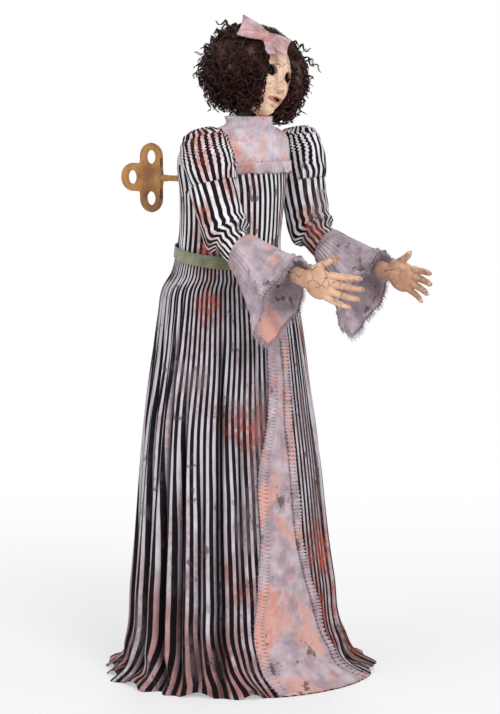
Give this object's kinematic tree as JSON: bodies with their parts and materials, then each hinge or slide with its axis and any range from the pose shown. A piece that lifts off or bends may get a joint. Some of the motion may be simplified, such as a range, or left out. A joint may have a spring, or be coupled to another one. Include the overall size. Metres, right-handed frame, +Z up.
{
  "type": "animatronic doll",
  "caption": "Free-standing mechanical doll with wig, long striped dress, posable arms, a head that turns and tilts, and a wind-up key that turns in its back.",
  "frame": {"origin": "on the floor, under the middle of the base hub", "axes": "+Z up, the doll faces -Y, +X is the doll's left side"},
  "size_m": [0.6741, 0.8837, 1.6173],
  "materials": {
    "steel": "satin",
    "black_tube": "satin",
    "rubber": "matte",
    "black_plastic": "matte",
    "grey_plastic": "matte",
    "red_plastic": "gloss",
    "brass": "satin",
    "gold_finish": "satin",
    "striped_cloth": "matte",
    "stained_cloth": "matte",
    "ribbon": "satin",
    "hair": "satin",
    "doll_face": "satin",
    "doll_hand": "satin",
    "teeth_white": "gloss",
    "eye_black": "matte"
  },
  "bodies": {
    "base": {"base_hub": "black_tube", "base_tube_right": "black_tube", "base_tube_left": "black_tube", "foot_cap_front_right": "rubber", "foot_cap_front_left": "rubber", "foot_cap_rear_right": "rubber", "foot_cap_rear_left": "rubber", "lower_pole": "steel", "upper_pole": "steel", "pole_collar": "black_plastic", "hip_shell": "black_plastic", "waist_motor": "grey_plastic", "skirt": "striped_cloth", "front_panel": "stained_cloth", "panel_ruffle_right": "stained_cloth", "panel_ruffle_left": "stained_cloth"},
    "torso": {"waist_turntable": "steel", "spine_rod": "steel", "shoulder_bar": "steel", "shoulder_cap_right": "steel", "shoulder_cap_left": "steel", "head_motor": "grey_plastic", "chest_shell_front": "black_plastic", "chest_shell_back": "black_plastic", "key_frame": "steel", "key_motor": "grey_plastic", "bodice": "striped_cloth", "yoke": "stained_cloth", "yoke_ruffle": "stained_cloth", "belt": "ribbon", "control_box": "black_plastic", "control_box_lid": "grey_plastic", "speaker": "grey_plastic"},
    "switch": {"mode_switch": "red_plastic"},
    "button": {"test_button": "red_plastic"},
    "key": {"key_shaft": "gold_finish", "key_bow": "gold_finish", "key_gear": "brass"},
    "pinion": {"key_pinion": "brass"},
    "neck": {"neck_bracket": "black_plastic"},
    "head": {"skull_shell": "black_plastic", "face_mask": "doll_face", "eye_backing": "eye_black", "teeth": "teeth_white", "wig": "hair", "hair_bow": "stained_cloth"},
    "upper_arm_right": {"upper_arm_rod_right": "steel", "sleeve_upper_right": "striped_cloth", "elbow_bolt_right": "steel"},
    "forearm_right": {"forearm_rod_right": "steel", "sleeve_lower_right": "striped_cloth", "cuff_right": "stained_cloth"},
    "palm_right": {"hand_right": "doll_hand"},
    "upper_arm_left": {"upper_arm_rod_left": "steel", "sleeve_upper_left": "striped_cloth", "elbow_bolt_left": "steel"},
    "forearm_left": {"forearm_rod_left": "steel", "sleeve_lower_left": "striped_cloth", "cuff_left": "stained_cloth"},
    "palm_left": {"hand_left": "doll_hand"}
  },
  "joints": [
    {"name": "waist_turn", "type": "hinge", "parent": "base", "child": "torso", "pos_m": [0, 0, 0.9915], "axis": [0, 0, 1], "range_deg": [-20, 20]},
    {"name": "head_turn", "type": "hinge", "parent": "torso", "child": "neck", "pos_m": [0, -0.062, 1.338], "axis": [0, 0, 1], "range_deg": [-28, 28]},
    {"name": "head_tilt", "type": "hinge", "parent": "neck", "child": "head", "pos_m": [0, -0.062, 1.4], "axis": [0, 1, 0], "range_deg": [-20, 3]},
    {"name": "key_spin", "type": "hinge", "parent": "torso", "child": "key", "pos_m": [0, 0.05, 1.213], "axis": [0, 1, 0], "continuous": true},
    {"name": "key_pinion_spin", "type": "hinge", "parent": "torso", "child": "pinion", "pos_m": [0.036, 0.05, 1.213], "axis": [0, 1, 0], "continuous": true},
    {"name": "mode_switch_slide", "type": "slide", "parent": "torso", "child": "switch", "axis": [1, 0, 0], "range_m": [0, 0.005]},
    {"name": "test_button_press", "type": "slide", "parent": "torso", "child": "button", "axis": [0, -1, 0], "range_m": [0, 0.0025], "stiffness_N_per_m": 300},
    {"name": "shoulder_right", "type": "hinge", "parent": "torso", "child": "upper_arm_right", "pos_m": [-0.176, -0.077, 1.295], "axis": [1, 0, 0], "range_deg": [-30, 6]},
    {"name": "elbow_right", "type": "hinge", "parent": "upper_arm_right", "child": "forearm_right", "pos_m": [-0.176, -0.14251, 1.09338], "axis": [1, 0, 0], "range_deg": [-30, 5]},
    {"name": "wrist_right", "type": "hinge", "parent": "forearm_right", "child": "palm_right", "pos_m": [-0.176, -0.36503, 1.00347], "axis": [0, -0.9272, -0.3746], "range_deg": [-30, 30]},
    {"name": "shoulder_left", "type": "hinge", "parent": "torso", "child": "upper_arm_left", "pos_m": [0.176, -0.077, 1.295], "axis": [1, 0, 0], "range_deg": [-30, 6]},
    {"name": "elbow_left", "type": "hinge", "parent": "upper_arm_left", "child": "forearm_left", "pos_m": [0.176, -0.12108, 1.08763], "axis": [1, 0, 0], "range_deg": [-30, 5]},
    {"name": "wrist_left", "type": "hinge", "parent": "forearm_left", "child": "palm_left", "pos_m": [0.176, -0.3436, 0.99773], "axis": [0, -0.9272, -0.3746], "range_deg": [-30, 30]}
  ],
  "couplings": [
    {"joint": "key_pinion_spin", "follows": "key_spin", "ratio": -4}
  ]
}
